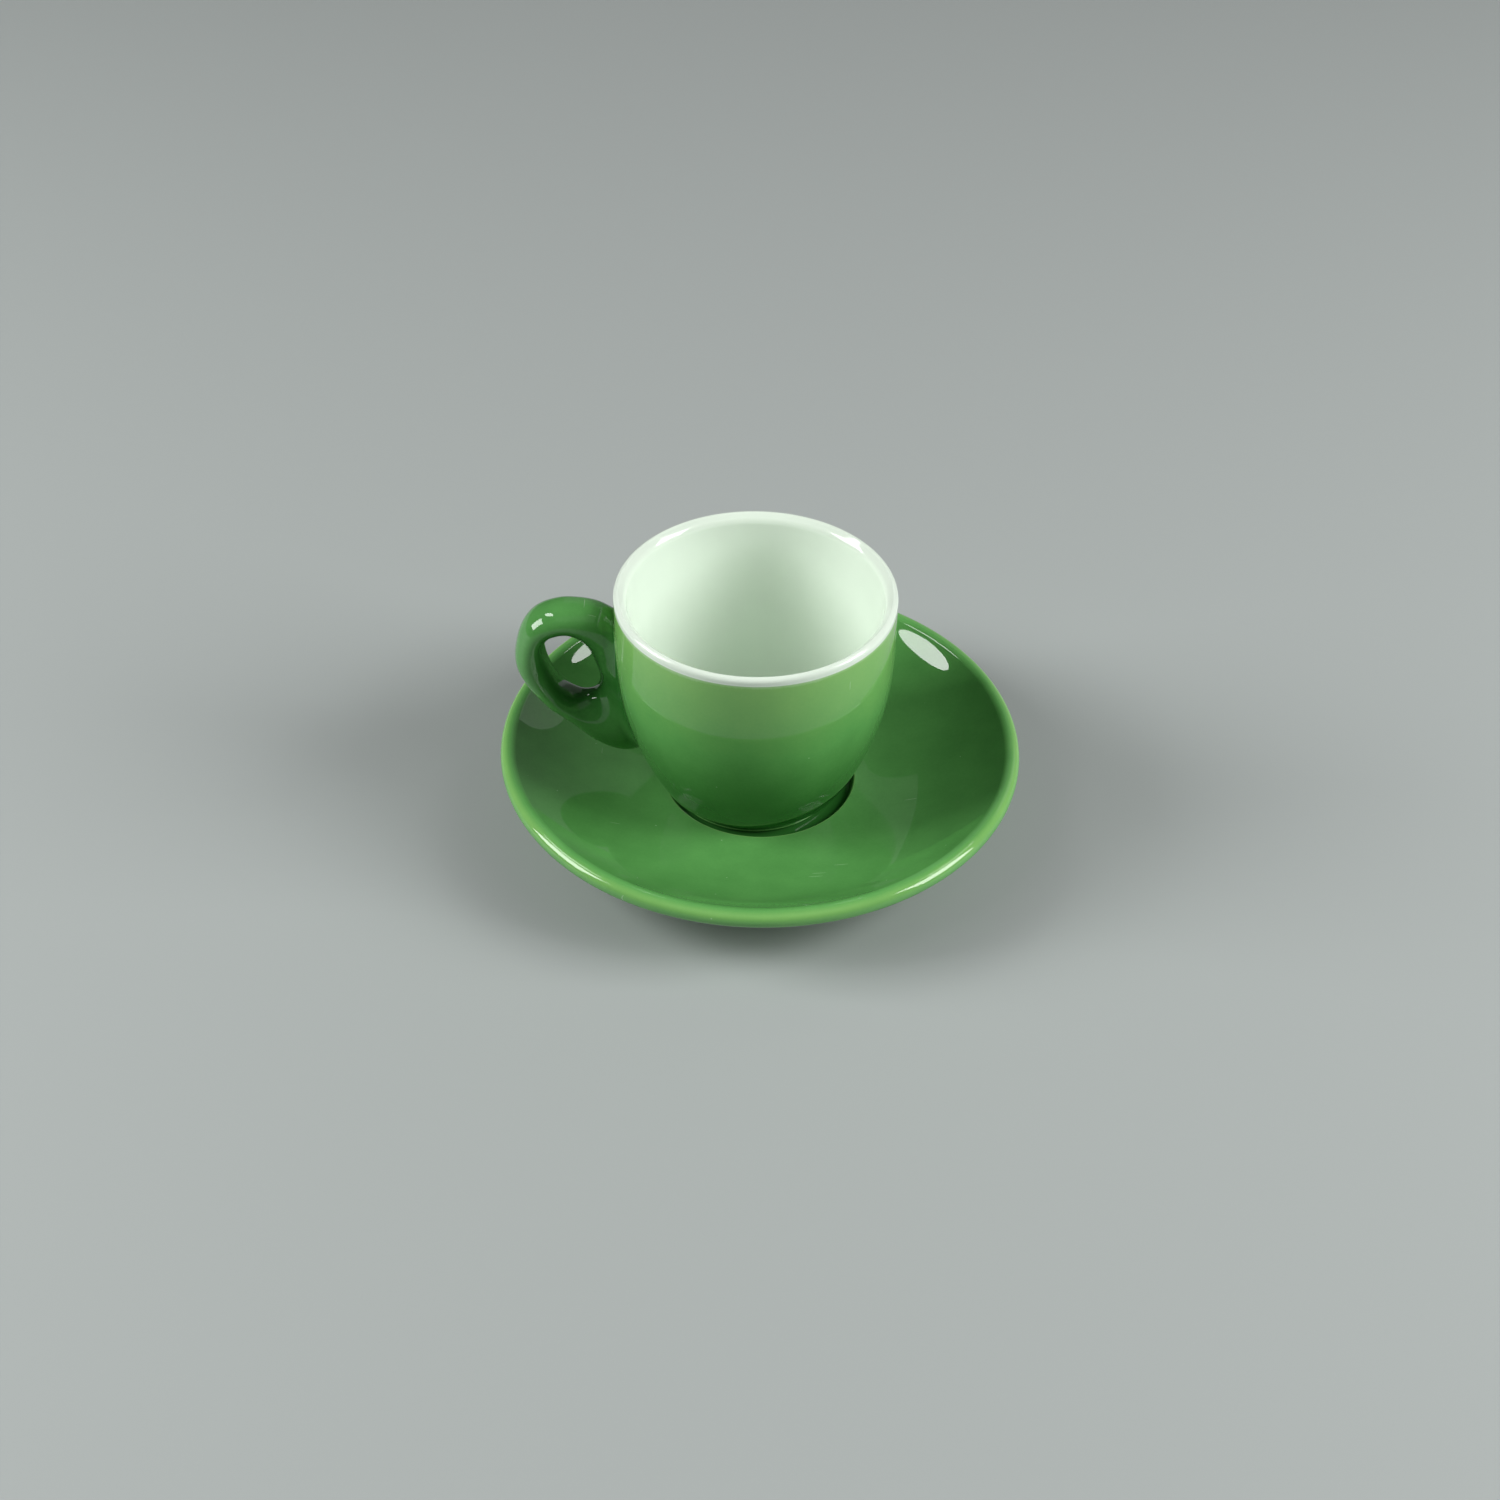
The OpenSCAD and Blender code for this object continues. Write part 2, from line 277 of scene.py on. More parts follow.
def dish_radius(run, rise, rounding):
    """Radius of an arc that starts level and runs up to touch a rounding: the squares of the run and
    the rise to the rounding's middle, less the rounding's, over twice the sum of rise and rounding."""
    return (run ** 2 + rise ** 2 - rounding ** 2) / (2 * (rise + rounding))


def saucer_outside(saucer, inset, bottom):
    """The saucer's outside from the middle of the well over the rim to the bare foot, drawn in
    by an inset: well, lip, one arc for the dish, a wide rounding up to the crest of the rim, a
    tighter one down its outside, one arc for the underside and a fillet on the foot ring."""
    rim = saucer.thickness / 2
    rim_x, rim_z = saucer.radius - rim, saucer.height - rim
    crest_z = saucer.height - saucer.rim_inner
    dish_x, dish_z = saucer.well_radius + saucer.well_lip, saucer.well_floor + saucer.well_depth
    run = rim_x - dish_x
    dish = dish_radius(run, crest_z - dish_z, saucer.rim_inner)
    dish_end = math.atan2(crest_z - dish_z - dish, run)
    under = dish_radius(run, rim_z - dish_z, rim) + saucer.thickness
    under_z = dish_z + under - saucer.thickness
    under_start = math.atan2(rim_z - under_z, run)
    fillet_x = saucer.ring_radius + saucer.ring_fillet
    fillet_z = under_z - math.sqrt((under + saucer.ring_fillet) ** 2 - (fillet_x - dish_x) ** 2)
    fillet_start = math.atan2(under_z - fillet_z, dish_x - fillet_x)
    corner_x, corner_z = saucer.well_radius - saucer.well_round, saucer.well_floor + saucer.well_round
    floor_z = saucer.well_floor - inset
    ring_x = saucer.ring_radius - inset
    return chain(
        line((0, floor_z), (corner_x, floor_z), rows=14),
        arc(corner_x, corner_z, saucer.well_round + inset, -QUARTER_TURN, 0, rows=12),
        arc(dish_x, dish_z - saucer.well_lip, saucer.well_lip - inset, HALF_TURN, QUARTER_TURN, rows=12),
        arc(dish_x, dish_z + dish, dish + inset, -QUARTER_TURN, dish_end, rows=52),
        arc(rim_x, crest_z, saucer.rim_inner - inset, dish_end + HALF_TURN, QUARTER_TURN, rows=20),
        arc(rim_x, rim_z, rim - inset, QUARTER_TURN, under_start, rows=24),
        arc(dish_x, under_z, under - inset, under_start, fillet_start - HALF_TURN, rows=28),
        arc(fillet_x, fillet_z, saucer.ring_fillet + inset, fillet_start, HALF_TURN, rows=12),
        line((ring_x, fillet_z), (ring_x, bottom), rows=6))


# Grids: a profile turned round its axis, and the loop of the handle

# Steps round an upright axis, sections round the finger hole and points round each section.
ROUND_STEPS = 256
LOOP_SECTIONS = 384
SECTION_POINTS = 96
# Thickness of the loop at even steps round the finger hole, from the outside over the top, as shares.
LOOP_SHARES = np.array([1.04, 1, 0.98, 1.06, 1.46, 1.38, 1.28, 1.95, 2.72, 1.06, 0.87, 0.92])
# Power of the finger hole's superellipse.
HOLE_POWER = 2.5
# Share of a section's points that stand free, where the section runs into the wall.
FREE_SHARE = 0.75
# Steps of a search, after which its span is far below a micrometre.
HALVINGS = 40
# Steps in height at which the seat's width is taken, and a distance that is out of every reach.
SEAT_STEPS = 48
FAR_AWAY = 1.0


def revolve(profile, middle=(0, 0, 0)):
    """A profile turned about an upright axis: its radius times cosine and sine of the angle, and its
    height, all moved to the middle of the foot."""
    around = np.linspace(0, FULL_TURN, ROUND_STEPS, endpoint=False)
    radius, height = profile[:, :1], profile[:, 1:]
    turned = np.broadcast_arrays(radius * np.cos(around), radius * np.sin(around), height)
    return np.stack(turned, axis=-1) + np.array(middle)


def halve(low, high, keep_upper):
    """Halves the span between two arrays again and again, to where a test changes its answer."""
    for _ in range(HALVINGS):
        middle = (low + high) / 2
        upper = keep_upper(middle)
        low, high = np.where(upper, middle, low), np.where(upper, high, middle)
    return low, high


def closed_cubic(values, place):
    """A closed cubic through even values, at places from 0 to 1 round it: its slope at each value is
    half the difference between the two beside it."""
    count = len(values)
    first = np.floor(place * count).astype(int)
    part = place * count - first
    before, start, end, after = (values[(first + k) % count] for k in (-1, 0, 1, 2))
    bend = 2 * before - 5 * start + 4 * end - after
    twist = 3 * (start - end) + after - before
    return start + part * (end - before + part * (bend + part * twist)) / 2


def wall_radius(cup, z):
    """Radius of the cup's outside at a height: upright above, and below that the wide arc's middle plus
    the root of its radius squared less the drop squared."""
    drop = cup.curve_height - np.minimum(z, cup.curve_height)
    return cup.radius - cup.curve_radius + np.sqrt(cup.curve_radius ** 2 - drop ** 2)


def loop(cup, handle):
    """The handle, its gap to the wall and how far a point lies towards the finger hole, from 0 to 1:
    oval sections about rays from the middle of the hole.
    The hole is a leaning superellipse, the thickness a closed cubic through LOOP_SHARES, and near the
    wall a section widens by a quarter round and is cut off on the wall."""
    hole_x = cup.radius + handle.hole_out
    half_width = handle.width / 2
    widest = half_width + handle.fillet
    ray = np.linspace(0, FULL_TURN, LOOP_SECTIONS, endpoint=False)[:, None]
    across = np.abs(np.cos(ray + handle.lean)) / (handle.hole_width / 2)
    along = np.abs(np.sin(ray + handle.lean)) / (handle.hole_height / 2)
    hole = (across ** HOLE_POWER + along ** HOLE_POWER) ** (-1 / HOLE_POWER)
    thickness = handle.thickness * closed_cubic(LOOP_SHARES, ray / FULL_TURN)

    def reach(turn):
        """How far a section goes along its ray at a turn from the hole to its outside."""
        return hole + thickness * (1 - np.cos(turn)) / 2

    def gap(distance, aside):
        """How far a point stands off the wall, less the slip joint."""
        out = np.hypot(hole_x + distance * np.cos(ray), aside)
        return out - wall_radius(cup, handle.hole_z + distance * np.sin(ray)) - handle.seat

    def flare(clear):
        """How much wider a section is at a gap: a quarter round of the fillet's radius."""
        near = handle.fillet - np.clip(clear, 0, handle.fillet)
        return handle.fillet - np.sqrt(handle.fillet ** 2 - near ** 2)

    _, touch = halve(
        np.zeros_like(ray), np.full_like(ray, HALF_TURN),
        lambda turn: gap(reach(turn), widest * np.sin(turn)) > 0)
    touch = np.minimum(touch, HALF_TURN * FREE_SHARE)
    count = SECTION_POINTS // 2
    share = np.concatenate([np.arange(count), np.arange(count, 0, -1)]) / count
    side = np.where(np.arange(SECTION_POINTS) < count, 1, -1)
    free = touch * share / FREE_SHARE
    seated = touch + (HALF_TURN - touch) * (share - FREE_SHARE) / (1 - FREE_SHARE)
    turn = np.where(share < FREE_SHARE, free, seated)
    wide = np.sin(turn)
    distance = reach(turn)
    low, high = halve(
        wide * half_width, wide * widest,
        lambda aside: aside <= wide * (half_width + flare(gap(distance, aside))))
    aside = (low + high) / 2
    on_wall, _ = halve(np.zeros_like(distance), distance, lambda near: gap(near, aside) > 0)
    distance = np.where(gap(distance, aside) > 0, distance, on_wall)
    x = -hole_x - distance * np.cos(ray)
    z = handle.hole_z + distance * np.sin(ray)
    return np.stack([x, side * aside, z], axis=-1), gap(distance, aside), (1 + np.cos(turn)) / 2


def beside_joint(grid, seat):
    """How far each point of the wall lies beside the handle's seat: its distance from the middle plane
    less the seat's half width at its height, and far away on the cup's other side."""
    height = np.linspace(seat[:, 2].min(), seat[:, 2].max(), SEAT_STEPS)
    step = np.round((seat[:, 2] - height[0]) / (height[1] - height[0])).astype(int)
    half_width = np.zeros_like(height)
    np.maximum.at(half_width, np.clip(step, 0, SEAT_STEPS - 1), np.abs(seat[:, 1]))
    aside = np.abs(grid[..., 1]) - np.interp(grid[..., 2], height, half_width)
    beyond = np.maximum(np.maximum(height[0] - grid[..., 2], grid[..., 2] - height[-1]), 0)
    return np.where(grid[..., 0] < 0, np.hypot(np.maximum(aside, 0), beyond), FAR_AWAY)


# How deep the coat lies, from 0 where it is worn off to 1 where it pools, with painted light and shade
# added to it

USUAL_DEPTH = 0.5
# Mean curvature times this length comes off the depth.
COAT_FLOW = 0.5 * MM
# The cup's coat at its top and at its foot: the coat's run as it set, with painted light making the top
# paler and painted shade making the foot darker.
CUP_TOP_RUN_AND_LIGHT = -0.35
CUP_FOOT_RUN_AND_SHADE = 0.58
# Loss where the spray ends below the white band.
LIP_MIST = 0.5
# Painted highlight on the wall along the handle's seat, drawn as a loss of coat, and how far it reaches.
JOINT_HIGHLIGHT = 0.4
EDGE_REACH = 0.35 * MM
# Depth added to the handle's coat at its top and at its tail, darker at the top than at the tail.
HANDLE_TOP_DARKER = 0.18
HANDLE_TAIL_DARKER = 0.02
# Painted shade towards the finger hole.
HOLE_SHADE = 0.3
# Gain on the handle along its seat, pooled glaze with painted shade in the crease against the wall, and how
# far it reaches.
JOINT_POOL_AND_SHADE = 0.18
JOINT_REACH = 1.1 * MM
# Sag of the saucer's coat, and the painted shade in its well under the cup.
SAUCER_SAG = 0.1
WELL_SHADE = 0.6
# Loss on the saucer's rim, a thinner coat with painted light on its face that turns up and out, the turn
# round the rim where it is greatest, and how far it reaches.
RIM_THIN_AND_LIGHT = 0.28
RIM_TURN = math.radians(48)
RIM_REACH = 1.05 * MM
# Least length, and addition to a squared length, that keep a division from failing at a pole.
TINY_LENGTH = 1e-15
TINY_SQUARE = 1e-12


def outward(grid, closed):
    """1 if the cross product of the steps down a column and along a row points out of the piece, else
    -1: the sign of the sum of those products times their points, which is three times the volume."""
    rows = np.concatenate([grid, grid[:1]]) if closed else grid[1:-1]
    along = np.diff(rows, axis=0)
    across = (np.roll(rows, -1, 1) - rows)[:-1]
    return math.copysign(1, (np.cross(along, across) * rows[:-1]).sum())


def coat_bend(grid, closed):
    """How a piece bends, above 0 on edges and below 0 in corners: its mean curvature times COAT_FLOW.
    The curvature along each direction is the change of the normal along the step, over the step's
    square."""
    def step(values, axis):
        """From the point before to the point after."""
        ahead, behind = np.roll(values, -1, axis), np.roll(values, 1, axis)
        if axis == 0 and not closed:
            ahead[-1], behind[0] = values[-1], values[0]
        return ahead - behind

    along, across = step(grid, 0), step(grid, 1)
    normal = np.cross(along, across)
    normal /= np.maximum(np.linalg.norm(normal, axis=-1, keepdims=True), TINY_LENGTH)
    bend_along = (step(normal, 0) * along).sum(-1) / ((along ** 2).sum(-1) + TINY_SQUARE)
    bend_across = (step(normal, 1) * across).sum(-1) / ((across ** 2).sum(-1) + TINY_SQUARE)
    return outward(grid, closed) * (bend_along + bend_across) / 2 * COAT_FLOW


def height_ramp(grid, top, bottom):
    """An even change with the height, between a value at the highest and one at the lowest point. On the
    cup it carries painted light and shade.
    """
    z = grid[..., 2]
    return bottom + (top - bottom) * (z - z.min()) / (z.max() - z.min())


# Meshes

# Edges that turn by more than this are shaded sharp.
SHARP_ANGLE = math.radians(50)


def surface_mesh(name, grid, closed, layers):
    """A mesh on a grid whose columns run round and meet. Rows meet too if closed, and otherwise the
    first and last rows are single points on the axis. Faces are turned outwards."""
    rows, columns = grid.shape[:2]
    strips = rows if closed else rows - 1
    row, column = np.meshgrid(np.arange(strips), np.arange(columns), indexing="ij")
    next_row, next_column = (row + 1) % rows, (column + 1) % columns
    keep = np.arange(rows * columns)
    index = keep.reshape(rows, columns)
    if not closed:
        last = (rows - 1) * columns
        keep = np.concatenate([[0], np.arange(columns, last), [last]])
        index = np.clip(index - columns + 1, 0, last - columns + 1)
    points = grid.reshape(-1, 3)[keep]
    quads = np.stack([
        index[row, column], index[row, next_column],
        index[next_row, next_column], index[next_row, column]], axis=-1)
    fans = np.zeros((0, 3), int)
    if not closed:
        fans = np.concatenate([quads[0][:, [0, 2, 3]], quads[-1][:, [0, 1, 2]]])
        quads = quads[1:-1]
    quads = quads.reshape(-1, 4)
    if outward(grid, closed) > 0:
        quads, fans = quads[:, ::-1], fans[:, ::-1]
    mesh = bpy.data.meshes.new(name)
    mesh.vertices.add(len(points))
    mesh.vertices.foreach_set("co", points.astype(np.float32).ravel())
    mesh.loops.add(quads.size + fans.size)
    mesh.loops.foreach_set("vertex_index", np.concatenate([quads.ravel(), fans.ravel()]).astype(np.int32))
    mesh.polygons.add(len(quads) + len(fans))
    starts = np.concatenate([np.arange(0, quads.size, 4), quads.size + np.arange(0, fans.size, 3)])
    mesh.polygons.foreach_set("loop_start", starts.astype(np.int32))
    mesh.update(calc_edges=True)
    mesh.validate()
    for layer, values in layers.items():
        values = np.broadcast_to(values, grid.shape[:2]).reshape(-1)[keep]
        mesh.attributes.new(layer, "FLOAT", "POINT").data.foreach_set("value", values.astype(np.float32))
    mesh.shade_smooth()
    mesh.set_sharp_from_angle(angle=SHARP_ANGLE)
    return mesh


def place(name, grid, closed, material, body, node, slot, sag_and_shading=0.0, cut=0, layers=None):
    """Makes the piece, gives it its finish and lets it ride on its body in place of a CAD node. The
    coat's depth is the usual one plus its sag less its bend. The sag tells how the coat ran before it
    set, below 0 where it left and above 0 where it came to rest, and it also carries painted light
    below 0 and painted shade above 0. The first rows, as many as are cut, count as bent like the row
    after them."""
    bend = coat_bend(grid, closed)
    bend[:cut] = bend[cut]
    # The sag brings painted light and shade into the coat's depth.
    layers = dict(layers or {}, pool_and_shading=np.clip(USUAL_DEPTH + sag_and_shading - bend, 0, 1))
    piece = bpy.data.objects.new(name, surface_mesh(name, grid, closed, layers))
    bpy.context.scene.collection.objects.link(piece)
    piece.data.materials.append(material)
    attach(piece, body)
    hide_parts(node)


# Finishes

# Sizes of the soft clouds in the colour, and of the long waves that the glaze keeps from its flow.
CLOUD_SIZE = 9 * MM
PORCELAIN_CLOUD_SIZE = 14 * MM
WAVE_SIZE = 6 * MM
WAVE_HEIGHT = 0.4 * MM
# The spray's droplets are finer on the real coat, and are drawn as coarse as they need to show.
GRAIN_SIZE = 0.7 * MM
# What clouds and grain add to the depth of the coat.
CLOUD_SHARE = 0.16
GRAIN_SHARE = 0.06
PORCELAIN_CLOUD_SHARE = 0.3
# Depths, clouds and grain included, at which the green coat has its mist, thin, usual and deep colours.
# Painted light moves a coat towards the thin colour and painted shade towards the deep one.
GREEN_DEPTHS = (0.02, 0.22, 0.6, 1.0)
# Depths, clouds included, at which the clear coat is usual and pooled, and the light left by a pool.
WHITE_DEPTHS = (0.6, 1.0)
POOLED_WHITE = 0.9
# Pale specks and scratches, each about the point of a cell: the cell's sides in millimetres, the share
# of a side that a mark reaches, and the random shade below which a cell has one. Scratches are wider
# than real ones, as they need to show.
GLAZE_MARKS = (
    {"cell": (5, 5, 5), "near": 0.035, "below": 0.5},
    {"cell": (34, 1.6, 34), "near": 0.05, "below": 0.4},
    {"cell": (1.6, 40, 40), "near": 0.05, "below": 0.3},
)
MARK_STRENGTH = 0.35
# Sockets of a Mix node for colours, which share their names with those for numbers.
MIX_FACTOR = 0
MIX_FIRST = 6
MIX_SECOND = 7
MIX_RESULT = 2


def add(tree, kind, inputs=None, **settings):
    """Adds a node, sets its properties, and links each input to a socket or sets it to a value."""
    made = tree.nodes.new(kind)
    for key, value in settings.items():
        setattr(made, key, value)
    for key, value in (inputs or {}).items():
        if isinstance(value, bpy.types.NodeSocket):
            tree.links.new(value, made.inputs[key])
        else:
            made.inputs[key].default_value = value
    return made


def opaque(shade, light=1.0):
    """A colour times its light, with full alpha."""
    return (*[light * part for part in shade], 1)


def set_stops(ramp, places, colours):
    """Gives a colour ramp a stop at each place."""
    ramp.elements[0].position = places[0]
    ramp.elements[-1].position = places[-1]
    for between in places[1:-1]:
        ramp.elements.new(between)
    for stop, shade in zip(ramp.elements, colours):
        stop.color = shade


def new_material(name):
    """An empty node material and its tree."""
    material = bpy.data.materials.get(name) or bpy.data.materials.new(name)
    material.use_nodes = True
    material.node_tree.nodes.clear()
    return material, material.node_tree


def green_glaze(name, finishes):
    """Opaque green glaze, sprayed or dipped and fired to a smooth gloss. The eye sees an even green
    that pales where the coat runs thin on edges and darkens where it pools, mirror-like reflections
    that waver slightly, and a few faint pale specks and scratches. The same paling and darkening
    also show the painted light and shade that the pieces carry in their depth."""
    material, tree = new_material(name)
    where = add(tree, "ShaderNodeTexCoord").outputs["Object"]
    pool_and_shading = add(tree, "ShaderNodeAttribute", attribute_name="pool_and_shading").outputs["Fac"]
    cloud = add(tree, "ShaderNodeTexNoise", {"Vector": where, "Scale": 1 / CLOUD_SIZE, "Detail": 2.0})
    grain = add(tree, "ShaderNodeTexNoise", {"Vector": where, "Scale": 1 / GRAIN_SIZE, "Detail": 1.0})
    clouded = add(tree, "ShaderNodeMath", {
        0: cloud.outputs["Fac"], 1: CLOUD_SHARE, 2: pool_and_shading}, operation="MULTIPLY_ADD")
    depth = add(tree, "ShaderNodeMath", {
        0: grain.outputs["Fac"], 1: GRAIN_SHARE, 2: clouded.outputs[0]}, operation="MULTIPLY_ADD")
    ramp = add(tree, "ShaderNodeValToRGB", {"Fac": depth.outputs[0]})
    greens = (finishes.green_mist, finishes.green_thin_and_lit, finishes.green, finishes.green_deep_and_shade)
    set_stops(ramp.color_ramp, GREEN_DEPTHS, map(opaque, greens))
    shade = ramp.outputs["Color"]
    for mark in GLAZE_MARKS:
        sides = [side * MM for side in mark["cell"]]
        scaled = add(tree, "ShaderNodeVectorMath", {0: where, 1: sides}, operation="DIVIDE")
        cell = add(tree, "ShaderNodeTexVoronoi", {"Vector": scaled.outputs[0], "Scale": 1.0})
        near = add(tree, "ShaderNodeMath", {
            0: cell.outputs["Distance"], 1: mark["near"]}, operation="LESS_THAN")
        some = add(tree, "ShaderNodeMath", {
            0: cell.outputs["Color"], 1: mark["below"]}, operation="LESS_THAN")
        both = add(tree, "ShaderNodeMath", {0: near.outputs[0], 1: some.outputs[0]}, operation="MULTIPLY")
        faint = add(tree, "ShaderNodeMath", {0: both.outputs[0], 1: MARK_STRENGTH}, operation="MULTIPLY")
        shade = add(tree, "ShaderNodeMix", {
            MIX_FACTOR: faint.outputs[0], MIX_FIRST: shade, MIX_SECOND: opaque(finishes.green_mist)},
            data_type="RGBA").outputs[MIX_RESULT]
    wave = add(tree, "ShaderNodeTexNoise", {"Vector": where, "Scale": 1 / WAVE_SIZE, "Detail": 1.0})
    bump = add(tree, "ShaderNodeBump", {
        "Height": wave.outputs["Fac"], "Strength": 0.014, "Distance": WAVE_HEIGHT})
    rough = add(tree, "ShaderNodeMapRange", {
        "Value": cloud.outputs["Fac"], "To Min": 0.008, "To Max": 0.026})
    shader = add(tree, "ShaderNodeBsdfPrincipled", {
        "Base Color": shade, "Normal": bump.outputs["Normal"], "Roughness": rough.outputs[0], "IOR": 1.52})
    add(tree, "ShaderNodeOutputMaterial", {"Surface": shader.outputs["BSDF"]})
    return material


def white_glaze(name, finishes):
    """Clear glaze on white porcelain, fired to a gloss. The eye sees a soft white with a cool green
    cast, gloss in small sharp glints, green that ran over onto the foot, and a dull foot where the
    porcelain was wiped bare."""
    material, tree = new_material(name)
    where = add(tree, "ShaderNodeTexCoord").outputs["Object"]
    pool_and_shading = add(tree, "ShaderNodeAttribute", attribute_name="pool_and_shading").outputs["Fac"]
    bare = add(tree, "ShaderNodeAttribute", attribute_name="bare").outputs["Fac"]
    overrun = add(tree, "ShaderNodeAttribute", attribute_name="overrun").outputs["Fac"]
    cloud = add(tree, "ShaderNodeTexNoise", {
        "Vector": where, "Scale": 1 / PORCELAIN_CLOUD_SIZE, "Detail": 2.0})
    depth = add(tree, "ShaderNodeMath", {
        0: cloud.outputs["Fac"], 1: PORCELAIN_CLOUD_SHARE, 2: pool_and_shading}, operation="MULTIPLY_ADD")
    ramp = add(tree, "ShaderNodeValToRGB", {"Fac": depth.outputs[0]})
    whites = (opaque(finishes.white), opaque(finishes.white, POOLED_WHITE))
    set_stops(ramp.color_ramp, WHITE_DEPTHS, whites)
    wiped = add(tree, "ShaderNodeMix", {
        MIX_FACTOR: bare, MIX_FIRST: ramp.outputs["Color"], MIX_SECOND: opaque(finishes.bare)},
        data_type="RGBA")
    shade = add(tree, "ShaderNodeMix", {
        MIX_FACTOR: overrun, MIX_FIRST: wiped.outputs[MIX_RESULT], MIX_SECOND: opaque(finishes.green_deep_and_shade)},
        data_type="RGBA")
    wave = add(tree, "ShaderNodeTexNoise", {"Vector": where, "Scale": 1 / WAVE_SIZE, "Detail": 1.0})
    bump = add(tree, "ShaderNodeBump", {
        "Height": wave.outputs["Fac"], "Strength": 0.03, "Distance": WAVE_HEIGHT})
    rough = add(tree, "ShaderNodeMapRange", {"Value": bare, "To Min": 0.08, "To Max": 0.75})
    shader = add(tree, "ShaderNodeBsdfPrincipled", {
        "Base Color": shade.outputs[MIX_RESULT], "Normal": bump.outputs["Normal"],
        "Roughness": rough.outputs[0], "IOR": 1.5})
    add(tree, "ShaderNodeOutputMaterial", {"Surface": shader.outputs["BSDF"]})
    return material


def table_paint(name, finishes):
    """Matt painted board for the table: an even pale grey."""
    material, tree = new_material(name)
    shader = add(tree, "ShaderNodeBsdfPrincipled", {"Base Color": opaque(finishes.table), "Roughness": 0.6})
    add(tree, "ShaderNodeOutputMaterial", {"Surface": shader.outputs["BSDF"]})
    return material


# Pieces


class ESPRESSO_OT_cup_body(bpy.types.Operator):
    """White porcelain body of the cup: bowl, rim and foot ring"""
    bl_idname = "espresso.cup_body"
    bl_label = "Cup body"

    def execute(self, context):
        cup = context.scene.espresso_cup
        band = cup.height - cup.lip_band
        foot = foot_radius(cup)
        profile = chain(
            cup_inside(cup),
            line((cup.radius, cup.height - cup.lip_outer), (cup.radius, band), rows=8),
            cup_outside(cup, cup.glaze, band, cup.bare_foot),
            ring_foot(foot, cup.foot_width, cup.foot_hollow, cup.foot_round, cup.bare_foot))
        radius, height = profile[:, :1], profile[:, 1:]
        at_foot = (height < cup.bare_foot + cup.film) & (radius > foot - cup.foot_width - cup.foot_round)
        wiped = at_foot & ((height < cup.wiped_foot) | (radius < foot - cup.foot_round))
        porcelain = white_glaze("Clear glazed porcelain", context.scene.espresso_finishes)
        place("cup_body_porcelain", revolve(profile, CUP_PLACE), False, porcelain,
              "cup", "cup_body", "white_porcelain", layers={"bare": wiped, "overrun": at_foot & ~wiped})
        return {"FINISHED"}


class ESPRESSO_OT_cup_glaze(bpy.types.Operator):
    """Green glaze on the outside of the cup"""
    bl_idname = "espresso.cup_glaze"
    bl_label = "Cup glaze"

    def execute(self, context):
        cup, handle = context.scene.espresso_cup, context.scene.espresso_handle
        top, bottom = cup.height - cup.lip_band - cup.film, cup.bare_foot + cup.film
        outer = cup_outside(cup, 0, top, bottom)
        inner = cup_outside(cup, cup.glaze - cup.film, top, bottom)
        grid = revolve(np.concatenate([outer, inner[::-1]]), CUP_PLACE)
        points, gap, _ = loop(cup, handle)
        beside = beside_joint(grid - CUP_PLACE, points[gap < cup.film + handle.seat])
        below = CUP_PLACE[2] + top - grid[..., 2]
        mist = LIP_MIST * np.exp(-below / cup.coat_fade)
        # Painted highlight on the wall along the handle's seat, drawn as a thinner coat.
        edge = JOINT_HIGHLIGHT * np.exp(-beside / EDGE_REACH)
        # Painted light paler at the cup's top and painted shade darker towards its foot, with the coat's
        # run as it set.
        sag_and_shading = height_ramp(grid, CUP_TOP_RUN_AND_LIGHT, CUP_FOOT_RUN_AND_SHADE) - mist - edge
        green = green_glaze("Green sprayed glaze", context.scene.espresso_finishes)
        place("cup_green_coat", grid, True, green, "cup", "cup_glaze", "cup_green_glaze", sag_and_shading, cut=2)
        return {"FINISHED"}


class ESPRESSO_OT_handle(bpy.types.Operator):
    """Loop handle with its tail, stuck to the wall"""
    bl_idname = "espresso.handle"
    bl_label = "Handle"

    def execute(self, context):
        points, gap, inner = loop(context.scene.espresso_cup, context.scene.espresso_handle)
        grid = points + CUP_PLACE
        # Painted shade towards the finger hole, and pooled glaze with painted shade along the seat.
        painted_shade = HOLE_SHADE * inner + JOINT_POOL_AND_SHADE * np.exp(-np.maximum(gap, 0) / JOINT_REACH)
        sag_and_shading = height_ramp(grid, HANDLE_TOP_DARKER, HANDLE_TAIL_DARKER) + painted_shade
        green = green_glaze("Green dipped glaze", context.scene.espresso_finishes)
        place("loop_handle", grid, True, green, "cup", "handle", "handle_green_glaze", sag_and_shading)
        return {"FINISHED"}


class ESPRESSO_OT_saucer_body(bpy.types.Operator):
    """White porcelain body of the saucer"""
    bl_idname = "espresso.saucer_body"
    bl_label = "Saucer body"

    def execute(self, context):
        saucer = context.scene.espresso_saucer
        profile = chain(
            saucer_outside(saucer, saucer.glaze, saucer.bare_foot),
            ring_foot(saucer.ring_radius, saucer.ring_width, saucer.ring_hollow, saucer.ring_round,
                      saucer.bare_foot))
        porcelain = white_glaze("Bare fired porcelain", context.scene.espresso_finishes)
        place("saucer_body_porcelain", revolve(profile), False, porcelain,
              "saucer", "saucer_body", "bare_porcelain", layers={"bare": np.ones((1, 1))})
        return {"FINISHED"}


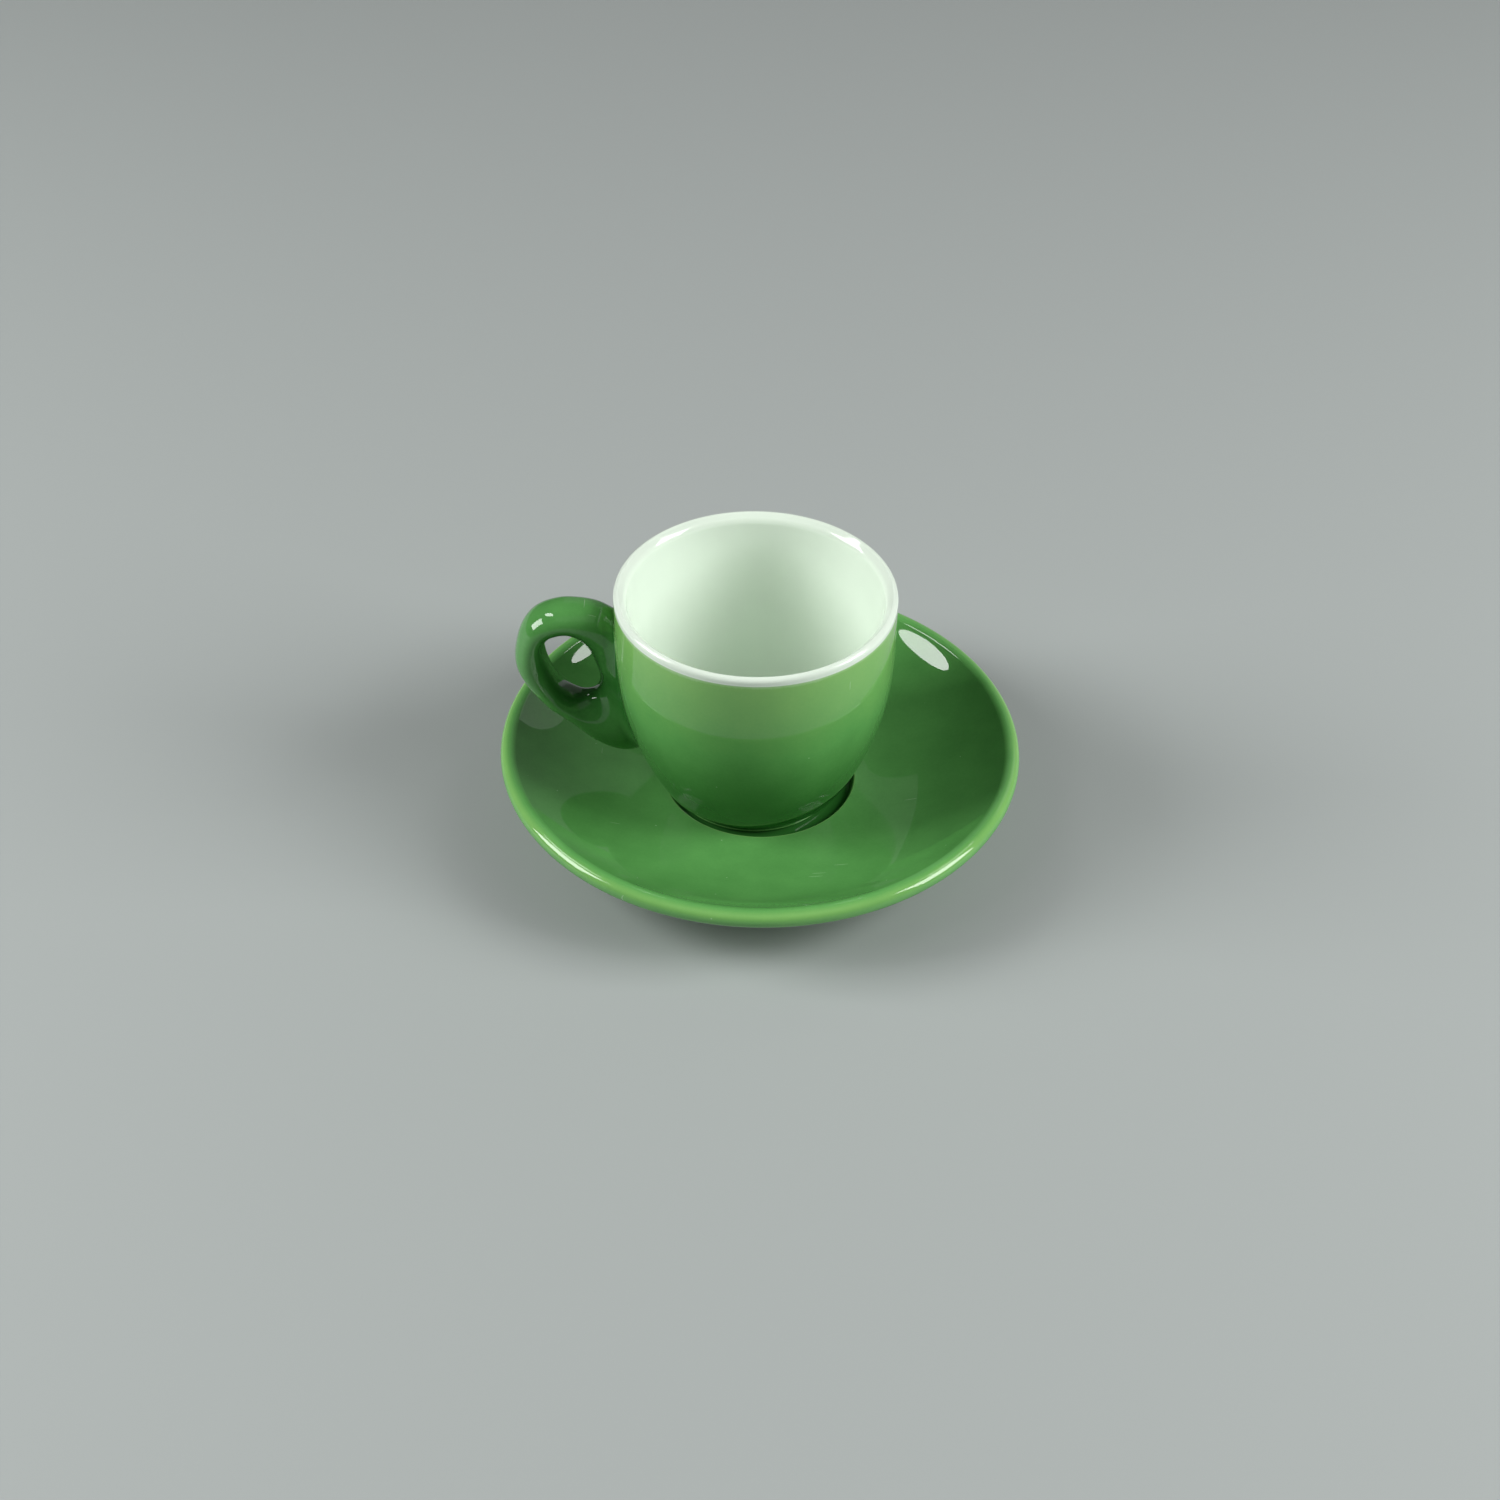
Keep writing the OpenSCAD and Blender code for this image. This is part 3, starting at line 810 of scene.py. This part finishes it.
class ESPRESSO_OT_saucer_glaze(bpy.types.Operator):
    """Green glaze over the well, the dish, the rim and the underside"""
    bl_idname = "espresso.saucer_glaze"
    bl_label = "Saucer glaze"

    def execute(self, context):
        saucer = context.scene.espresso_saucer
        bottom = saucer.bare_foot + saucer.film
        outer = saucer_outside(saucer, 0, bottom)
        inner = saucer_outside(saucer, saucer.glaze - saucer.film, bottom)
        grid = revolve(np.concatenate([outer, inner[::-1]]))
        from_axis = np.hypot(grid[..., 0], grid[..., 1])
        inside = saucer.well_radius + saucer.well_lip - from_axis
        rim = saucer.thickness / 2
        out = from_axis - saucer.radius + rim * (1 - math.cos(RIM_TURN))
        over = grid[..., 2] - saucer.height + rim * (1 - math.sin(RIM_TURN))
        # Painted shade in the well under the cup.
        painted_shade = WELL_SHADE * np.clip(inside / saucer.well_round, 0, 1)
        # A thinner coat with painted light on the rim's upper outer face.
        thinned_and_lit = RIM_THIN_AND_LIGHT * np.exp(-(out ** 2 + over ** 2) / RIM_REACH ** 2)
        sag_and_shading = SAUCER_SAG + painted_shade - thinned_and_lit
        green = green_glaze("Green sprayed glaze", context.scene.espresso_finishes)
        place("saucer_green_coat", grid, False, green, "saucer", "saucer_glaze", "saucer_green_glaze", sag_and_shading)
        return {"FINISHED"}


# Stage

# Half the table's side, and how far it lies below the saucer's foot, so that their faces don't coincide.
TABLE_HALF = 3.0
TABLE_DROP = 0.05 * MM
# The camera's frame in millimetres, and the nearest and farthest that it sees.
SENSOR_WIDTH = 36
CLIP_NEAR = 0.01
CLIP_FAR = 20
# Strength of the even light of the room, and how far the lamps stand from the object.
ROOM_LIGHT = 0.03
LAMP_DISTANCE = 1.2
# Lamps: place and size in degrees as seen from the object, azimuth 0 on the camera's side, and radiance.
# One that isn't mirrored lights the pieces and shows in no gloss, and one that doesn't light only shows
# in gloss.
LAMPS = (
    {"name": "softbox_left", "azimuth": -87, "elevation": 32, "width": 26, "height": 28, "radiance": 11.0},
    {"name": "softbox_right", "azimuth": 79, "elevation": 31, "width": 26, "height": 29, "radiance": 11.2},
    {"name": "upper_left", "azimuth": -62, "elevation": 48, "width": 24, "height": 16, "radiance": 2.9,
     "mirrored": False},
    {"name": "upper_right", "azimuth": 62, "elevation": 48, "width": 24, "height": 16, "radiance": 2.9,
     "mirrored": False},
    {"name": "strip_left", "azimuth": -112.5, "elevation": 53.7, "width": 18.4, "height": 6.2,
     "radiance": 8.6, "turn": 43, "shape": "ELLIPSE", "lights": False},
    {"name": "strip_right", "azimuth": 111, "elevation": 52.6, "width": 18, "height": 4.6,
     "radiance": 6.8, "turn": -41, "shape": "ELLIPSE", "lights": False},
    {"name": "card_behind", "azimuth": 135.4, "elevation": 32.4, "width": 16, "height": 22,
     "radiance": 0.36, "shape": "ELLIPSE"},
    {"name": "wall_behind", "azimuth": 157, "elevation": 22, "width": 64, "height": 44, "radiance": 0.17},
    {"name": "overhead", "azimuth": 0, "elevation": 68, "width": 50, "height": 30, "radiance": 0.2},
)


def softbox(name, azimuth, elevation, width, height, radiance,
            turn=0, shape="RECTANGLE", mirrored=True, lights=True):
    """A soft lamp that faces the object, turned about the line to it. Its power is its radiance times
    pi times its two sides."""
    lamp = bpy.data.lights.new(name, "AREA")
    lamp.shape = shape
    lamp.size = 2 * LAMP_DISTANCE * math.tan(math.radians(width) / 2)
    lamp.size_y = 2 * LAMP_DISTANCE * math.tan(math.radians(height) / 2)
    lamp.energy = radiance * math.pi * lamp.size * lamp.size_y
    aside, above = math.radians(azimuth), math.radians(elevation)
    level = math.cos(above)
    away = Vector((math.sin(aside) * level, -math.cos(aside) * level, math.sin(above)))
    facing = away.to_track_quat("Z", "Y").to_matrix() @ Matrix.Rotation(math.radians(turn), 3, "Z")
    box = bpy.data.objects.new(name, lamp)
    box.matrix_world = Matrix.Translation(away * LAMP_DISTANCE) @ facing.to_4x4()
    box.visible_glossy = mirrored
    box.visible_diffuse = lights
    bpy.context.scene.collection.objects.link(box)


def lay_table(scene):
    """The table: one level face through four corners."""
    side = np.array([-TABLE_HALF, TABLE_HALF])
    x, y = np.meshgrid(side, side, indexing="xy")
    corners = np.stack([x, y, np.full_like(x, -TABLE_DROP)], axis=-1).reshape(-1, 3)
    mesh = bpy.data.meshes.new("table")
    mesh.from_pydata(corners.tolist(), [], [(0, 1, 3, 2)])
    mesh.materials.append(table_paint("Matt painted board", scene.espresso_finishes))
    table = bpy.data.objects.new("table", mesh)
    scene.collection.objects.link(table)


def light_room(scene):
    """A little even light from all sides."""
    world = scene.world or bpy.data.worlds.new("room")
    scene.world = world
    world.use_nodes = True
    tree = world.node_tree
    tree.nodes.clear()
    room = add(tree, "ShaderNodeBackground", {"Color": (1, 1, 1, 1), "Strength": ROOM_LIGHT})
    add(tree, "ShaderNodeOutputWorld", {"Surface": room.outputs[0]})


def aim_camera(scene):
    """The camera, back from its target by its distance and rolled about its own axis."""
    stage = scene.espresso_stage
    camera = bpy.data.cameras.new("photo_view")
    camera.lens, camera.sensor_width = stage.lens, SENSOR_WIDTH
    camera.clip_start, camera.clip_end = CLIP_NEAR, CLIP_FAR
    back = Vector((0, -math.cos(stage.elevation), math.sin(stage.elevation)))
    right = Vector((1, 0, 0))
    roll = Matrix.Rotation(stage.roll, 3, back)
    pose = Matrix((roll @ right, roll @ back.cross(right), back)).transposed().to_4x4()
    pose.translation = Vector(stage.target) + back * stage.distance
    view = bpy.data.objects.new("photo_view", camera)
    view.matrix_world = pose
    scene.collection.objects.link(view)
    scene.camera = view


class ESPRESSO_OT_stage(bpy.types.Operator):
    """Table, lamps, room light and camera"""
    bl_idname = "espresso.stage"
    bl_label = "Stage"

    def execute(self, context):
        context.scene.view_settings.view_transform = "Standard"
        lay_table(context.scene)
        for lamp in LAMPS:
            softbox(**lamp)
        light_room(context.scene)
        aim_camera(context.scene)
        return {"FINISHED"}


class VIEW3D_PT_espresso(bpy.types.Panel):
    """Builds the pieces one by one"""
    bl_label = "Espresso cup"
    bl_space_type = "VIEW_3D"
    bl_region_type = "UI"
    bl_category = "Cup"

    def draw(self, context):
        for operator in OPERATORS:
            self.layout.operator(operator.bl_idname)


GROUPS = {
    "espresso_cup": CupSizes,
    "espresso_handle": HandleSizes,
    "espresso_saucer": SaucerSizes,
    "espresso_finishes": Finishes,
    "espresso_stage": StageSettings,
}
OPERATORS = (
    ESPRESSO_OT_cup_body,
    ESPRESSO_OT_cup_glaze,
    ESPRESSO_OT_handle,
    ESPRESSO_OT_saucer_body,
    ESPRESSO_OT_saucer_glaze,
    ESPRESSO_OT_stage,
)
CLASSES = (*GROUPS.values(), *OPERATORS, VIEW3D_PT_espresso)


def register():
    """Registers the classes and hangs the sizes and colours on the scene."""
    for kind in CLASSES:
        bpy.utils.register_class(kind)
    for name, group in GROUPS.items():
        setattr(bpy.types.Scene, name, bpy.props.PointerProperty(type=group))


def unregister():
    """Undoes register."""
    for name in GROUPS:
        delattr(bpy.types.Scene, name)
    for kind in reversed(CLASSES):
        bpy.utils.unregister_class(kind)


def main():
    register()
    bpy.ops.espresso.cup_body()
    bpy.ops.espresso.cup_glaze()
    bpy.ops.espresso.handle()
    bpy.ops.espresso.saucer_body()
    bpy.ops.espresso.saucer_glaze()
    bpy.ops.espresso.stage()


if __name__ == "__main__":
    main()
